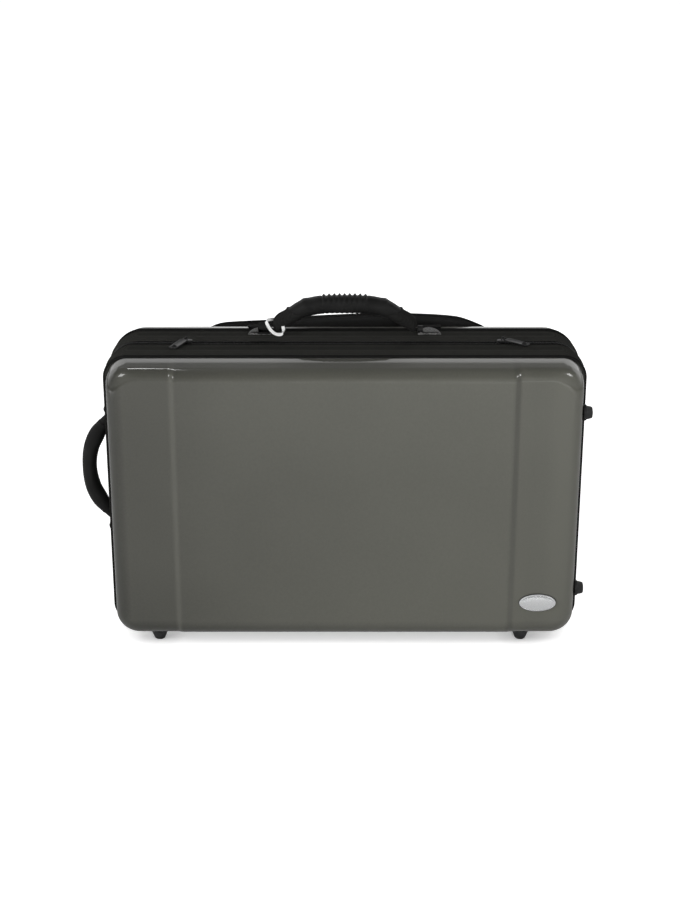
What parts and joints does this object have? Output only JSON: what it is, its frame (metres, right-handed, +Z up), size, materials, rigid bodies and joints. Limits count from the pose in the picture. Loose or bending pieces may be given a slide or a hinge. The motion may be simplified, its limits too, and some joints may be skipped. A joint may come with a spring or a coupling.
{
  "type": "trumpet case",
  "caption": "Rigid two-shell trumpet case with a padded zip band, top and side carry handles, rubber feet and a padded backpack harness.",
  "frame": {"origin": "centre of the bounding box's bottom, in the plane of the bottom feet's tips", "axes": "+X to the right end with the end feet, -X to the side handle, -Y out of the front shell, +Y out of the harness, +Z up to the top handle"},
  "size_m": [0.6058, 0.1942, 0.4033],
  "materials": {
    "shell": "glossy metallic grey gel coat",
    "band_fabric": "black woven nylon over foam",
    "welt_fabric": "black binding tape",
    "zip_fabric": "black zip tape and coil",
    "webbing": "black webbing",
    "pad_fabric": "black padded nylon",
    "lining": "dark plush over foam",
    "foot_rubber": "matt black rubber",
    "handle_rubber": "moulded black rubber",
    "anchor_plate": "speckled grey",
    "tag_nylon": "white nylon tie",
    "black_metal": "black painted zinc",
    "steel": "nickel plated",
    "badge_chrome": "satin chrome, bare",
    "buckle_plastic": "black moulded plastic"
  },
  "bodies": {
    "case": {"rear_shell": "shell", "rear_band": "band_fabric", "rear_welt": "welt_fabric", "rear_zip_tape": "zip_fabric", "rear_hinge_leaf": "webbing", "rear_face_pad": "lining", "rear_wall_lining": "lining", "divider_lower": "lining", "divider_upper": "lining", "hold_down_strap_left": "webbing", "hold_down_strap_right": "webbing", "rear_foot_left": "foot_rubber", "rear_foot_right": "foot_rubber", "rear_end_foot_lower": "foot_rubber", "rear_end_foot_upper": "foot_rubber", "handle_anchor_plate_left": "anchor_plate", "handle_anchor_plate_right": "anchor_plate", "side_handle_tab_bottom": "handle_rubber", "side_handle_tab_top": "handle_rubber", "harness_yoke": "pad_fabric", "shoulder_strap_left": "pad_fabric", "shoulder_strap_right": "pad_fabric", "anchor_web_left": "webbing", "anchor_web_right": "webbing", "ladder_lock_left": "buckle_plastic", "ladder_lock_right": "buckle_plastic", "lower_web_left": "webbing", "lower_web_right": "webbing", "lower_ring_left": "steel", "lower_ring_right": "steel", "ring_tab_left": "webbing", "ring_tab_right": "webbing", "ring_tab_rivet_left": "steel", "ring_tab_rivet_right": "steel"},
    "lid": {"front_shell": "shell", "front_band": "band_fabric", "front_welt": "welt_fabric", "front_zip_tape": "zip_fabric", "front_hinge_leaf": "webbing", "front_face_pad": "lining", "front_wall_lining": "lining", "front_foot_left": "foot_rubber", "front_foot_right": "foot_rubber", "front_end_foot_lower": "foot_rubber", "front_end_foot_upper": "foot_rubber", "badge": "badge_chrome"},
    "top_handle": {"handle_grip": "handle_rubber", "handle_core": "webbing", "handle_wrap_left": "webbing", "handle_wrap_right": "webbing", "tag_loop": "tag_nylon"},
    "side_handle": {"side_handle_grip": "handle_rubber", "side_handle_core": "webbing", "side_handle_end_bottom": "handle_rubber", "side_handle_end_top": "handle_rubber"},
    "slider_left": {"zip_slider_left": "black_metal"},
    "slider_right": {"zip_slider_right": "black_metal"},
    "pull_left": {"zip_pull_left": "black_metal"},
    "pull_right": {"zip_pull_right": "black_metal"}
  },
  "joints": [
    {"name": "lid_hinge", "type": "hinge", "parent": "case", "child": "lid", "pos_m": [0.0173, -0.0006, 0.0115], "axis": [1, 0, 0], "range_deg": [0, 110]},
    {"name": "top_handle_swing", "type": "hinge", "parent": "case", "child": "top_handle", "pos_m": [0.0173, 0.0284, 0.3605], "axis": [-1, 0, 0], "range_deg": [-70, 70]},
    {"name": "side_handle_swing", "type": "hinge", "parent": "case", "child": "side_handle", "pos_m": [-0.2677, 0.0264, 0.185], "axis": [0, 0, 1], "range_deg": [-65, 65]},
    {"name": "left_slider_run", "type": "slide", "parent": "case", "child": "slider_left", "axis": [1, 0, 0], "range_m": [-0.045, 0.165]},
    {"name": "right_slider_run", "type": "slide", "parent": "case", "child": "slider_right", "axis": [-1, 0, 0], "range_m": [-0.045, 0.165]},
    {"name": "left_pull_swing", "type": "hinge", "parent": "slider_left", "child": "pull_left", "pos_m": [-0.1687, -0.0006, 0.3586], "axis": [-0.9063, 0.4226, 0], "range_deg": [0, 150]},
    {"name": "right_pull_swing", "type": "hinge", "parent": "slider_right", "child": "pull_right", "pos_m": [0.2033, -0.0006, 0.3586], "axis": [-0.5592, -0.829, 0], "range_deg": [0, 150]}
  ]
}
